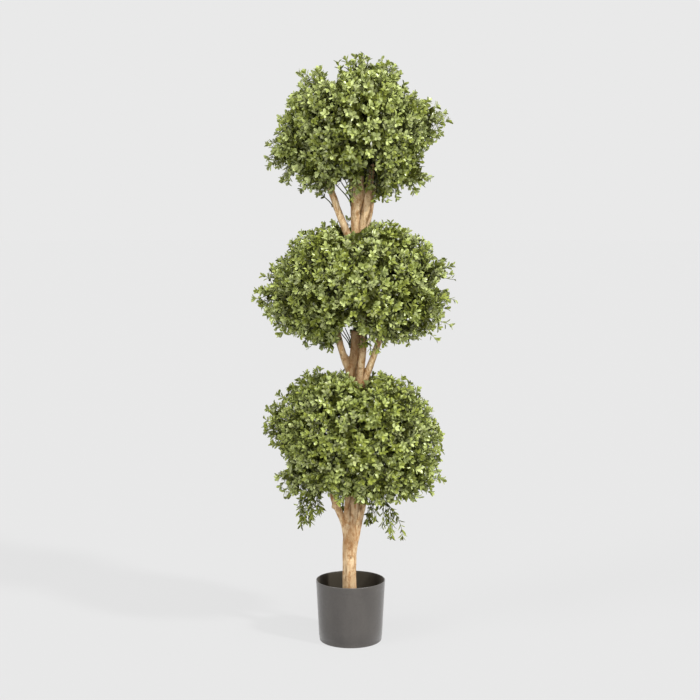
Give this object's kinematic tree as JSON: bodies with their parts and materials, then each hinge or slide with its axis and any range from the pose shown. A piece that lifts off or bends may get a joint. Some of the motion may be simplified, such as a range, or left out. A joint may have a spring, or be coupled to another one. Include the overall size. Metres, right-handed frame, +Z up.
{
  "type": "artificial three-ball boxwood topiary",
  "caption": "Artificial boxwood topiary with clipped balls of small leaves one above the other on a natural wood trunk with forked boughs, standing in a plain round pot.",
  "frame": {"origin": "centre of the pot's flat underside", "axes": "+Z up the trunk, +X to the right of the tree's front, +Y to its back"},
  "size_m": [0.5158, 0.4671, 1.4999],
  "materials": {
    "pot_plastic": "matt dark warm grey moulded plastic",
    "fill": "rough dark cement",
    "wood": "bare debarked wood with upright grain",
    "foliage": "satin green moulded leaves on green stems"
  },
  "bodies": {
    "root": {"pot": "pot_plastic", "pot_fill": "fill", "trunk": "wood", "bough_lower_left": "wood", "bough_lower_front": "wood", "bough_lower_right": "wood", "bough_middle_front": "wood", "bough_middle_left": "wood", "bough_middle_right": "wood", "bough_upper_left": "wood", "bough_upper_right": "wood", "bough_upper_back": "wood", "ball_lower": "foliage", "ball_middle": "foliage", "ball_upper": "foliage", "spray_left": "foliage", "spray_right": "foliage"}
  },
  "joints": []
}
